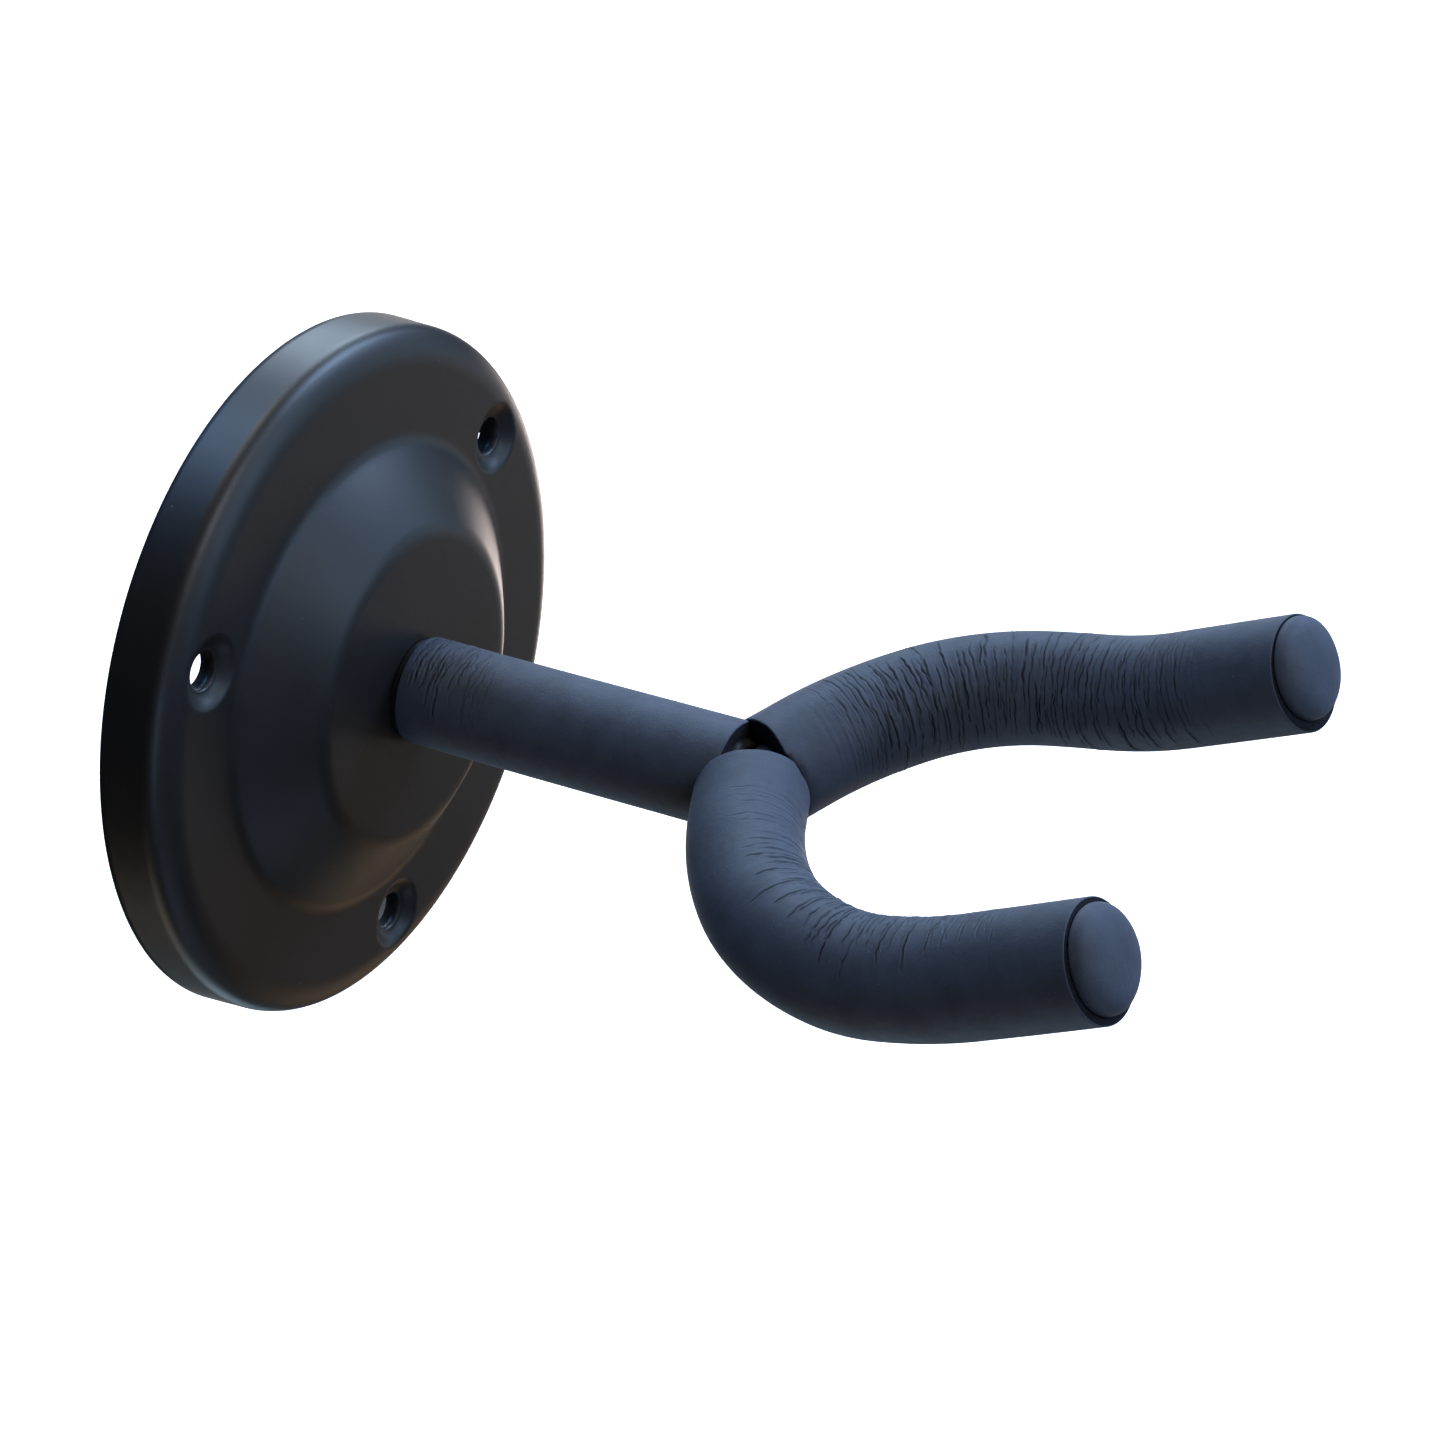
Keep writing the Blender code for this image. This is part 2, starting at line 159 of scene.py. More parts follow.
# Where the cracks lie, and ranges for each: turns and half turns round the tube, depths and widths.
# The arm's turns are in degrees and the forks' in radians.
ARM_SEED = 11
ARM_CRACK_COUNT, ARM_CRACK_FADE = 30, 36
ARM_CRACK_START, ARM_CRACK_STEP = 0.8 * MM, 0.42 * MM
ARM_CRACKS = ((62, 138), (18, 48), (0.30 * MM, 0.56 * MM), (0.10 * MM, 0.16 * MM))
FORK_CRACK_STEP, FORK_CRACK_SHIFT = (0.85 * MM, 1.3 * MM), 0.25 * MM
FORK_CRACKS = ((-0.28, 0.28), (0.28, 0.8), (0.22 * MM, 0.45 * MM), (0.085 * MM, 0.14 * MM))
FORK_CRACK_PLACES = ((-0.75, 0.0, 0.7), (-0.42, 0.42), (-0.42, 0.42))
FORK_CRACK_FADE = 9 * MM
CLIMB_SPAN = (32 * MM, 48 * MM)

# How far up from the throat's middle each fork's cracks lie, as a slope
THROAT_LEAN = {-1: 0.5, 1: 0.8}

# Each fork: name, side, seed, sleeve's start, (first crack, last crack, length over which they
# grow), how far in radians the cracks climb past the bend, and how far up the cap's dome leans
FORKS = [
    ("left", -1, 21, FORK_SLEEVE_START, (12 * MM, 76 * MM, 34 * MM), 0.38, 0.3 * MM),
    ("right", 1, 31, FORK_SLEEVE_START - 0.6 * MM, (12 * MM, 74 * MM, 9 * MM), 0.0, 0.7 * MM),
]

# Tip caps
CAP_RADIUS = 6.9 * MM
CAP_HEIGHT = 2.8 * MM
CAP_LIFT = 0.4 * MM
CAP_STEM_LENGTH = 8 * MM
CAP_STEM_RADIUS = 3.9 * MM
CAP_EDGE = 0.35 * MM
CAP_SIDES = 96

# Thread, nut and washers
THREAD_RADIUS = 3.7 * MM
THREAD_PITCH = 1.25 * MM
THREAD_DEPTH = 0.62 * MM
THREAD_SIDES = 48
ROWS_PER_THREAD = 16
TAIL_TAPER = 0.8 * MM
TAIL_CHAMFER = 0.7 * MM
NUT_ACROSS_FLATS = 13 * MM
NUT_COLLAR_RADIUS = 6.2 * MM
NUT_FACE_RADIUS = 6.3 * MM
NUT_SIDES = 144
INSERT_RADIUS = 5.3 * MM
INSERT_ROUND = 0.3 * MM

# Studio: round soft lights as (direction from the aim, diameter, colour, power), all at one distance
AIM = Vector((0, -0.06, 0))
LIGHT_DISTANCE = 1.0
SOFTBOX = 0.45
LIGHTS = [
    ((0.78, -0.36, 0.52), SOFTBOX, (0.47, 0.66, 1.00), 8.06),
    ((0.78, 0.41, 0.46), SOFTBOX, (0.64, 0.81, 1.00), 4.86),
    ((-0.09, -0.69, 0.72), SOFTBOX, (0.94, 0.94, 1.00), 2.19),
    ((0.21, 0.28, 0.94), SOFTBOX, (1.00, 0.95, 0.74), 2.00),
    ((0.00, 0.23, -0.97), SOFTBOX, (0.60, 0.82, 1.00), 1.25),
    ((0.34, -0.92, 0.19), SOFTBOX, (0.44, 0.67, 1.00), 1.76),
    ((0.18, 0.58, 0.79), SOFTBOX, (0.13, 0.43, 1.00), 2.70),
    ((-0.56, 0.25, -0.79), SOFTBOX, (1.00, 0.88, 0.70), 0.80),
    ((-0.70, -0.71, 0.01), SOFTBOX, (0.48, 0.67, 1.00), 0.96),
    ((0.87, -0.49, -0.10), SOFTBOX, (0.48, 0.75, 1.00), 0.59),
    ((-0.32, -0.57, -0.75), SOFTBOX, (0.55, 0.72, 1.00), 0.42),
    ((0.81, -0.33, -0.48), SOFTBOX, (1.00, 0.86, 0.76), 0.32),
    ((0.49, -0.12, -0.86), SOFTBOX, (1.00, 0.69, 0.42), 0.34),
    ((0.66, 0.58, -0.48), 0.9, (1.00, 0.87, 0.78), 3.00),
    ((0.85, 0.20, -0.49), 0.3, (1.00, 0.85, 0.80), 1.60),
]
SKY_LIGHT = ((0.9, 0.93, 1.0, 1), 0.025)
FLOOR_HEIGHT = -0.30
FLOOR_REACH = 6.0
FLOOR_GLOW = 0.9

# Camera: angles in degrees, lens in millimetres
CAMERA_ANGLES = (-58.184, 36.167, -5.025)
CAMERA_PLACE = (-0.359372, -0.289759, 0.317694)
CAMERA_LENS = 97.976
SENSOR_WIDTH = 36


# Mesh helpers

def grid_faces(rows, columns, wrap_rows, start=0):
    """Quads of a grid of points stored row by row; its columns always wrap round."""
    last = rows if wrap_rows else rows - 1
    i = np.arange(last)[:, None]
    j = np.arange(columns)[None, :]
    i2, j2 = (i + 1) % rows, (j + 1) % columns
    quads = np.stack([i * columns + j, i * columns + j2, i2 * columns + j2, i2 * columns + j], -1)
    return (quads.reshape(-1, 4) + start).tolist()


def closed_faces(rows, columns):
    """The grid's quads, with one face over each end."""
    last = (rows - 1) * columns
    lids = [list(range(columns))[::-1], list(range(last, last + columns))]
    return grid_faces(rows, columns, False) + lids


def mesh_object(name, points, faces, coat, sharp_angle=None):
    """A smooth-shaded mesh object, its faces turned outwards."""
    mesh = bpy.data.meshes.new(name)
    mesh.from_pydata(np.asarray(points).reshape(-1, 3).tolist(), [], faces)
    mesh.validate()
    shell = bmesh.new()
    shell.from_mesh(mesh)
    bmesh.ops.recalc_face_normals(shell, faces=shell.faces)
    if shell.calc_volume(signed=True) < 0:
        bmesh.ops.reverse_faces(shell, faces=shell.faces)
    shell.to_mesh(mesh)
    shell.free()
    mesh.shade_smooth()
    if sharp_angle:
        mesh.set_sharp_from_angle(angle=math.radians(sharp_angle))
    mesh.materials.append(coat)
    obj = bpy.data.objects.new(name, mesh)
    bpy.context.scene.collection.objects.link(obj)
    return obj


def point_value(obj, name, values):
    """Stores one number a point, for a material to read."""
    attribute = obj.data.attributes.new(name, "FLOAT", "POINT")
    attribute.data.foreach_set("value", np.asarray(values, np.float32).ravel())


def full_turn(sides):
    return np.linspace(0, 2 * math.pi, sides, endpoint=False)


def turned_points(profile, sides):
    """Rings of (radius, height) points round the arm's axis, row by row."""
    radius, height = np.array(profile, float).T
    turn = full_turn(sides)
    x = radius[:, None] * np.cos(turn)
    z = radius[:, None] * np.sin(turn)
    return np.stack([x, np.broadcast_to(-height[:, None], x.shape), z], -1)


def turned(name, profile, sides, coat, sharp_angle=35):
    """A closed (radius, height) outline turned about the arm's axis."""
    points = turned_points(profile, sides)
    return mesh_object(name, points, grid_faces(len(profile), sides, True), coat, sharp_angle)


def arc(centre, radius, start, end, count):
    """Points on an arc in the (radius, height) plane; angles in degrees."""
    turn = np.radians(np.linspace(start, end, count))
    return [(centre[0] + radius * math.cos(a), centre[1] + radius * math.sin(a)) for a in turn]


def finish_piece(piece, body, slot, *nodes):
    """Rides on its body and stands for these CAD nodes, which it hides; the slot is not used."""
    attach(piece, body)
    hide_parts(*nodes)
    return piece


# Material helpers

BLACK, WHITE = (0, 0, 0), (1, 1, 1)
FOAM_COLOUR = (0.060, 0.074, 0.104)


def new_material(name, colour, roughness, metallic=0.0, specular=0.5):
    made = bpy.data.materials.new(name)
    made.use_nodes = True
    shader = made.node_tree.nodes["Principled BSDF"]
    shader.inputs["Base Color"].default_value = (*colour, 1)
    shader.inputs["Roughness"].default_value = roughness
    shader.inputs["Metallic"].default_value = metallic
    shader.inputs["Specular IOR Level"].default_value = specular
    return made, made.node_tree, shader


def add_node(tree, kind, **inputs):
    node = tree.nodes.new(kind)
    for name, value in inputs.items():
        node.inputs[name.replace("_", " ")].default_value = value
    return node


def object_coordinates(tree):
    return add_node(tree, "ShaderNodeTexCoord").outputs["Object"]


def noise(tree, scale, detail=4.0, roughness=0.55, stretch=None):
    """A noise over the piece, its scale in features a metre; stretch slows it along an axis."""
    where = object_coordinates(tree)
    if stretch:
        mapping = add_node(tree, "ShaderNodeMapping", Scale=stretch)
        tree.links.new(where, mapping.inputs["Vector"])
        where = mapping.outputs["Vector"]
    made = add_node(tree, "ShaderNodeTexNoise", Scale=scale, Detail=detail, Roughness=roughness)
    tree.links.new(where, made.inputs["Vector"])
    return made.outputs["Fac"]


def ramp(tree, value, stops):
    """A colour ramp through stops of (place, colour)."""
    made = tree.nodes.new("ShaderNodeValToRGB")
    elements = made.color_ramp.elements
    while len(elements) < len(stops):
        elements.new(0.5)
    for element, (place, colour) in zip(elements, stops):
        element.position = place
        element.color = (*colour, 1)
    tree.links.new(value, made.inputs["Fac"])
    return made.outputs["Color"]


def spread(tree, value, low, high):
    """The value from 0 to 1 stretched to low to high."""
    made = add_node(tree, "ShaderNodeMapRange", To_Min=low, To_Max=high)
    tree.links.new(value, made.inputs["Value"])
    return made.outputs["Result"]


def mix_colour(tree, share, first, second):
    """Mixes two colours, sockets or plain, by share."""
    made = tree.nodes.new("ShaderNodeMix")
    made.data_type = "RGBA"
    for socket, value in ((made.inputs[6], first), (made.inputs[7], second)):
        if isinstance(value, tuple):
            socket.default_value = (*value, 1)
        else:
            tree.links.new(value, socket)
    tree.links.new(share, made.inputs["Factor"])
    return made.outputs[2]


def add_bump(tree, shader, value, distance, strength=1.0, before=None):
    bump = add_node(tree, "ShaderNodeBump", Strength=strength, Distance=distance)
    tree.links.new(value, bump.inputs["Height"])
    if before:
        tree.links.new(before, bump.inputs["Normal"])
    tree.links.new(bump.outputs["Normal"], shader.inputs["Normal"])
    return bump.outputs["Normal"]


def shade(colour, share):
    return tuple(share * channel for channel in colour)


def attribute(tree, name):
    made = tree.nodes.new("ShaderNodeAttribute")
    made.attribute_name = name
    return made.outputs["Fac"]


# Materials

def plate_paint():
    """Satin black paint with a faint orange peel, dust and bare metal on the holes' edges."""
    made, tree, shader = new_material("plate_paint", (0.009, 0.009, 0.01), 0.44, specular=0.7)
    clouds = noise(tree, 60, 3)
    colour = ramp(tree, clouds, [(0.3, (0.0085, 0.0078, 0.0078)), (0.7, (0.0108, 0.0100, 0.0102))])
    dust = ramp(tree, noise(tree, 1500, 1), [(0.80, BLACK), (0.84, WHITE)])
    colour = mix_colour(tree, dust, colour, (0.10, 0.10, 0.11))
    ragged = add_node(tree, "ShaderNodeMath")
    ragged.operation = "MULTIPLY_ADD"
    tree.links.new(noise(tree, 2200, 3), ragged.inputs[0])
    ragged.inputs[1].default_value = 0.7
    tree.links.new(attribute(tree, "wear"), ragged.inputs[2])
    bare = ramp(tree, ragged.outputs["Value"], [(0.98, BLACK), (1.0, WHITE)])
    colour = mix_colour(tree, bare, colour, (0.55, 0.54, 0.53))
    tree.links.new(colour, shader.inputs["Base Color"])
    tree.links.new(bare, shader.inputs["Metallic"])
    tree.links.new(spread(tree, noise(tree, 240, 4), 0.41, 0.48), shader.inputs["Roughness"])
    peel = add_bump(tree, shader, noise(tree, 900, 2), 0.012 * MM)
    add_bump(tree, shader, noise(tree, 5200, 2), 0.006 * MM, before=peel)
    return made


def foam():
    """Matt closed-cell foam with a fine skin, and painted shade that darkens its colour down in its cracks.
    """
    made, tree, shader = new_material("foam", FOAM_COLOUR, 0.62, specular=0.35)
    colour = ramp(tree, noise(tree, 210, 5), [(0.3, shade(FOAM_COLOUR, 0.82)), (0.5, FOAM_COLOUR),
                                              (0.75, shade(FOAM_COLOUR, 1.18))])
    specks = ramp(tree, noise(tree, 2600, 1), [(0.77, BLACK), (0.8, WHITE)])
    colour = mix_colour(tree, specks, colour, shade(FOAM_COLOUR, 2.2))
    # Painted shade: the colour darkens to a tenth down in the cracks, by the crack attribute
    colour = mix_colour(tree, attribute(tree, "crack"), colour, shade(FOAM_COLOUR, 0.10))
    tree.links.new(colour, shader.inputs["Base Color"])
    tree.links.new(spread(tree, noise(tree, 700, 4), 0.56, 0.72), shader.inputs["Roughness"])
    shader.inputs["Sheen Weight"].default_value = 0.12
    shader.inputs["Sheen Roughness"].default_value = 0.5
    shader.inputs["Sheen Tint"].default_value = (0.75, 0.85, 1, 1)
    skin = add_bump(tree, shader, noise(tree, 1100, 5, 0.6), 0.05 * MM)
    add_bump(tree, shader, noise(tree, 5200, 3, 0.6), 0.03 * MM, before=skin)
    return made


def cut_foam_and_painted_shade():
    """The sawn ends and bore of a foam tube: open cells, dark partly by their own colour and partly as
    painted shade.
    """
    made, tree, shader = new_material("foam_cut_painted_shade", (0.012, 0.014, 0.02), 0.85, specular=0.2)
    cells = add_node(tree, "ShaderNodeTexVoronoi", Scale=4200)
    tree.links.new(object_coordinates(tree), cells.inputs["Vector"])
    colour = ramp(tree, cells.outputs["Distance"],
                  [(0.1, (0.004, 0.005, 0.007)), (0.6, (0.016, 0.019, 0.027))])
    tree.links.new(colour, shader.inputs["Base Color"])
    tree.links.new(spread(tree, noise(tree, 900, 3), 0.78, 0.92), shader.inputs["Roughness"])
    add_bump(tree, shader, cells.outputs["Distance"], 0.12 * MM)
    return made


def black_steel():
    made, tree, shader = new_material("black_steel", (0.016, 0.016, 0.018), 0.5)
    colour = ramp(tree, noise(tree, 400, 4), [(0.3, (0.010, 0.010, 0.011)), (0.7, (0.024, 0.023, 0.023))])
    tree.links.new(colour, shader.inputs["Base Color"])
    tree.links.new(spread(tree, noise(tree, 800, 4), 0.4, 0.6), shader.inputs["Roughness"])
    add_bump(tree, shader, noise(tree, 3000, 4), 0.03 * MM)
    return made


def zinc():
    """Bright zinc plate with a faint yellow and blue cast and fine turning marks."""
    made, tree, shader = new_material("zinc_plate", (0.62, 0.62, 0.63), 0.3, metallic=1.0)
    cast = ramp(tree, noise(tree, 260, 3), [(0.3, (0.58, 0.60, 0.64)), (0.5, (0.63, 0.63, 0.63)),
                                            (0.7, (0.66, 0.63, 0.56))])
    tree.links.new(cast, shader.inputs["Base Color"])
    tree.links.new(spread(tree, noise(tree, 1600, 5), 0.24, 0.42), shader.inputs["Roughness"])
    add_bump(tree, shader, noise(tree, 6000, 2, stretch=(1, 0.05, 1)), 0.01 * MM)
    return made


def black_plastic():
    made, tree, shader = new_material("black_plastic", (0.008, 0.008, 0.009), 0.5)
    colour = ramp(tree, noise(tree, 500, 3), [(0.3, (0.006, 0.006, 0.007)), (0.7, (0.012, 0.012, 0.013))])
    tree.links.new(colour, shader.inputs["Base Color"])
    tree.links.new(spread(tree, noise(tree, 1500, 3), 0.42, 0.58), shader.inputs["Roughness"])
    add_bump(tree, shader, noise(tree, 4000, 3), 0.015 * MM)
    return made


def nylon():
    made, tree, shader = new_material("nylon", (0.62, 0.62, 0.58), 0.42)
    colour = ramp(tree, noise(tree, 500, 3), [(0.3, (0.56, 0.56, 0.52)), (0.7, (0.68, 0.68, 0.65))])
    tree.links.new(colour, shader.inputs["Base Color"])
    tree.links.new(spread(tree, noise(tree, 900, 3), 0.36, 0.5), shader.inputs["Roughness"])
    shader.inputs["Subsurface Weight"].default_value = 0.15
    shader.inputs["Subsurface Radius"].default_value = (0.001, 0.001, 0.0009)
    add_bump(tree, shader, noise(tree, 2500, 3), 0.012 * MM)
    return made


# Wall plate

def plate_front():
    """The front outline as (radius, height), from the rim's edge to the hub hole."""
    turn = math.radians(BAND_SLOPE)
    band_radius = BAND_WIDTH / math.sin(turn)
    band_end = (FLANGE_RADIUS + BAND_WIDTH, FLANGE_HEIGHT - band_radius * (1 - math.cos(turn)))
    centre = (band_end[0] - CORNER_RADIUS * math.sin(turn), band_end[1] - CORNER_RADIUS * math.cos(turn))
    corner = arc(centre, CORNER_RADIUS, RIM_LEAN, 90 - BAND_SLOPE, 15)
    wall = [(PLATE_RADIUS - EDGE_CHAMFER, 0), (PLATE_RADIUS, EDGE_CHAMFER)]
    lean = straight(wall[1], corner[0], 8)[1:-1]
    band = arc((FLANGE_RADIUS, FLANGE_HEIGHT - band_radius), band_radius, 90 - BAND_SLOPE, 90, 16)[1:]
    base, top = Vector((BOSS_BASE_RADIUS, FLANGE_HEIGHT)), Vector((BOSS_TOP_RADIUS, BOSS_HEIGHT))
    down, side = (base - top).normalized(), Vector((1, 0))
    base_bend = bezier(base + BASE_BEND * side, base, base - BASE_BEND * down, 9)
    top_bend = bezier(top + TOP_BEND * down, top, top - TOP_BEND * side, 11)
    flange = straight(band[-1], base_bend[0], 16)[1:-1]
    cone = straight(base_bend[-1], top_bend[0], 18)[1:-1]
    cone = [(radius, height + CONE_CROWN * math.sin(math.pi * number / (len(cone) + 1)))
            for number, (radius, height) in enumerate(cone, 1)]
    hub = straight(top_bend[-1], (HUB_HOLE_RADIUS, BOSS_HEIGHT), 8)[1:]
    return np.array(wall + lean + corner + band + flange + base_bend + cone + top_bend + hub)


def straight(start, end, count):
    """Even points from start to end."""
    return [tuple(Vector(start).lerp(Vector(end), share)) for share in np.linspace(0, 1, count)]


def bezier(start, middle, end, count):
    """Points on the curve from start to end that leaves both towards middle."""
    return [tuple(start.lerp(middle, t).lerp(middle.lerp(end, t), t))
            for t in np.linspace(0, 1, count)]


def outline_normals(outline):
    """Unit normals of an open (radius, height) outline, pointing out of the front."""
    along = np.gradient(outline, axis=0)
    along[0], along[-1] = (0, 1), (-1, 0)
    along /= np.linalg.norm(along, axis=1)[:, None]
    return np.stack([along[:, 1], -along[:, 0]], 1)


def plate_columns():
    """Angles of the plate's grid: even blocks over each hole and even steps between them."""
    half = HOLE_BLOCK / HOLE_CIRCLE_RADIUS / 2
    angles, blocks = [], []
    for number, degrees in enumerate(HOLE_ANGLES):
        middle = math.radians(degrees)
        following = math.radians(HOLE_ANGLES[(number + 1) % 3]) + (2 * math.pi if number == 2 else 0)
        blocks.append(len(angles))
        angles += list(np.linspace(middle - half, middle + half, BLOCK_CELLS + 1))
        angles += list(np.linspace(middle + half, following - half, BETWEEN_CELLS + 1)[1:-1])
    return np.array(angles), blocks


def smooth_step(x):
    x = np.clip(x, 0, 1)
    return x * x * (3 - 2 * x)


def dimple_drop(x, z):
    """How far a point of the plate is pressed back by the three screw dimples."""
    drop = np.zeros_like(x)
    for degrees in HOLE_ANGLES:
        a = math.radians(degrees)
        away = np.hypot(x - HOLE_CIRCLE_RADIUS * math.cos(a), z - HOLE_CIRCLE_RADIUS * math.sin(a))
        brim = DIMPLE_RADIUS + DIMPLE_FILLET
        drop += DIMPLE_DEPTH * smooth_step((brim - away) / (brim - DIMPLE_FLOOR))
    return drop


def make_plate(coat):
    """The pressed plate: a front and a back sheet joined at the rim, the hub hole and the screw holes."""
    outline = plate_front()
    normals = outline_normals(outline)
    thick = SHEET + (EDGE_SHEET - SHEET) * smooth_step(1 - outline[:, 1] / EDGE_SHEET_REACH)
    back = outline - np.where(outline[:, :1] > FLANGE_RADIUS, thick[:, None], SHEET) * normals
    back[0], back[1] = (PLATE_RADIUS - EDGE_SHEET + 0.1 * MM, 0), (PLATE_RADIUS - EDGE_SHEET, 0.1 * MM)
    angles, blocks = plate_columns()
    rows, columns = len(outline), len(angles)
    sheets = []
    for line in (outline, back):
        x = line[:, :1] * np.cos(angles)
        z = line[:, :1] * np.sin(angles)
        height = line[:, 1:] - dimple_drop(x, z)
        sheets.append(np.stack([x, -height, z], -1).reshape(-1, 3))
    inside = [row for row in range(rows)
              if abs(outline[row, 0] - HOLE_CIRCLE_RADIUS) < HOLE_BLOCK / 2
              and outline[row, 1] > FLANGE_HEIGHT - BLOCK_DROP]
    first_row, last_row = inside[0], inside[-1]
    cut = {row * columns + column for block in blocks for row in range(first_row, last_row)
           for column in range(block, block + BLOCK_CELLS)}
    grid = [quad for number, quad in enumerate(grid_faces(rows, columns, False)) if number not in cut]
    size = rows * columns
    faces = [*grid, *[[size + v for v in quad[::-1]] for quad in grid]]
    faces += join_edges(0, size, columns)
    faces += join_edges(size + (rows - 1) * columns, (rows - 1) * columns, columns)
    points, wear = list(sheets), [np.zeros(2 * size)]
    start = 2 * size
    for block, degrees in zip(blocks, HOLE_ANGLES):
        border = block_border(first_row, last_row, block, block + BLOCK_CELLS, columns)
        count = len(border)
        loops = []
        for side, sheet in enumerate(sheets):
            ring_points, ring_wear = hole_rings(sheet[border], degrees, side)
            points.append(ring_points.reshape(-1, 3))
            wear.append(ring_wear.ravel())
            edge = [side * size + v for v in border]
            faces += bridge(edge, list(range(start, start + count)), side)
            ring_faces = grid_faces(HOLE_RINGS, count, False, start)
            faces += ring_faces if side else [quad[::-1] for quad in ring_faces]
            loops.append(list(range(start + (HOLE_RINGS - 1) * count, start + HOLE_RINGS * count)))
            start += HOLE_RINGS * count
        faces += bridge(*loops, 0)
    plate = mesh_object("pressed_wall_plate", np.concatenate(points), faces, coat)
    point_value(plate, "wear", np.concatenate(wear))
    return finish_piece(plate, WALL_BODY, "plate_paint", "wall_plate")


def join_edges(first, second, count):
    """Quads between two rings of points that start at these numbers."""
    return [[first + j, second + j, second + (j + 1) % count, first + (j + 1) % count]
            for j in range(count)]


def block_border(top, bottom, left, right, columns):
    """Point numbers once round the block, in grid order."""
    border = [top * columns + c for c in range(left, right)]
    border += [r * columns + right for r in range(top, bottom)]
    border += [bottom * columns + c for c in range(right, left, -1)]
    return border + [r * columns + left for r in range(bottom, top, -1)]


def bridge(outer, inner, flip):
    """Quads between two equally long loops of point numbers."""
    count = len(outer)
    quads = [[outer[j], outer[(j + 1) % count], inner[(j + 1) % count], inner[j]] for j in range(count)]
    return quads if flip else [quad[::-1] for quad in quads]


def hole_rings(border, degrees, side):
    """Rings from just inside the block's border to the hole's edge, with how worn each point is."""
    a = math.radians(degrees)
    middle = np.array([HOLE_CIRCLE_RADIUS * math.cos(a), HOLE_CIRCLE_RADIUS * math.sin(a)])
    flat = border[:, [0, 2]] - middle
    away = np.linalg.norm(flat, axis=1)
    direction = flat / away[:, None]
    rings, wear = [], []
    for share in np.linspace(0, 1, HOLE_RINGS + 1)[1:]:
        radius = away + (HOLE_RADIUS - away) * share ** RING_CROWDING
        place = middle + direction * radius[:, None]
        height = sheet_height(np.hypot(*place.T), side) - dimple_drop(*place.T)
        if share == 1:
            height = height - (HOLE_BURRS[degrees] if side else EDGE_ROUND)
        rings.append(np.stack([place[:, 0], -height, place[:, 1]], 1))
        worn = 0.0 if side else WEAR_AMOUNT * smooth_step((share - WEAR_START) / (1 - WEAR_START))
        wear.append(worn * (direction[:, 0] < WEAR_SIDE))
    return np.array(rings), np.array(wear)


def sheet_height(radius, side):
    """Height of the undimpled front (side 0) or back sheet round the flange at these radii."""
    outline = plate_front()
    if side:
        outline = outline - SHEET * outline_normals(outline)
    keep = outline[:, 1] > FLANGE_HEIGHT - TABLE_DROP - (SHEET if side else 0)
    table = outline[keep][::-1]
    return np.interp(radius, table[:, 0], table[:, 1])


# Yoke route

def fork_route(side):
    """Places and directions along one fork by summing small steps; side is -1 left or +1 right."""
    stations = np.linspace(0, FORK_LENGTH, SUM_STEPS + 1)
    heading = np.radians(np.interp(stations, HEADING_STATIONS, HEADINGS))
    pitch = np.radians(np.interp(stations, PITCH_STATIONS, PITCHES))
    ways = np.stack([side * np.cos(pitch) * np.sin(heading), -np.cos(pitch) * np.cos(heading),
                     np.sin(pitch)], 1)
    steps = (ways[1:] + ways[:-1]) / 2 * stations[1]
    places = np.concatenate([np.zeros((1, 3)), np.cumsum(steps, axis=0)])
    tilt = np.array(Matrix.Rotation(math.radians(-YOKE_TILT), 3, "X"))
    return stations, places @ tilt.T + (0, -JUNCTION, 0), ways @ tilt.T


def arm_route():
    """The arm's straight route from the sleeve's start to its end."""
    stations = np.linspace(-CLOSE_UP, ARM_SLEEVE_END - ARM_SLEEVE_START, SUM_STEPS + 1)
    places = np.stack([0 * stations, -ARM_SLEEVE_START - stations, 0 * stations], 1)
    return stations, places, np.tile((0.0, -1.0, 0.0), (len(stations), 1))


def read_route(route, stations):
    """Places, directions and the two crosswise directions at these stations."""
    table, places, ways = route
    place = np.stack([np.interp(stations, table, places[:, i]) for i in range(3)], 1)
    way = np.stack([np.interp(stations, table, ways[:, i]) for i in range(3)], 1)
    way /= np.linalg.norm(way, axis=1)[:, None]
    across = np.cross((0, 0, 1), way)
    across /= np.linalg.norm(across, axis=1)[:, None]
    return place, way, across, np.cross(way, across)


# Foam sleeves

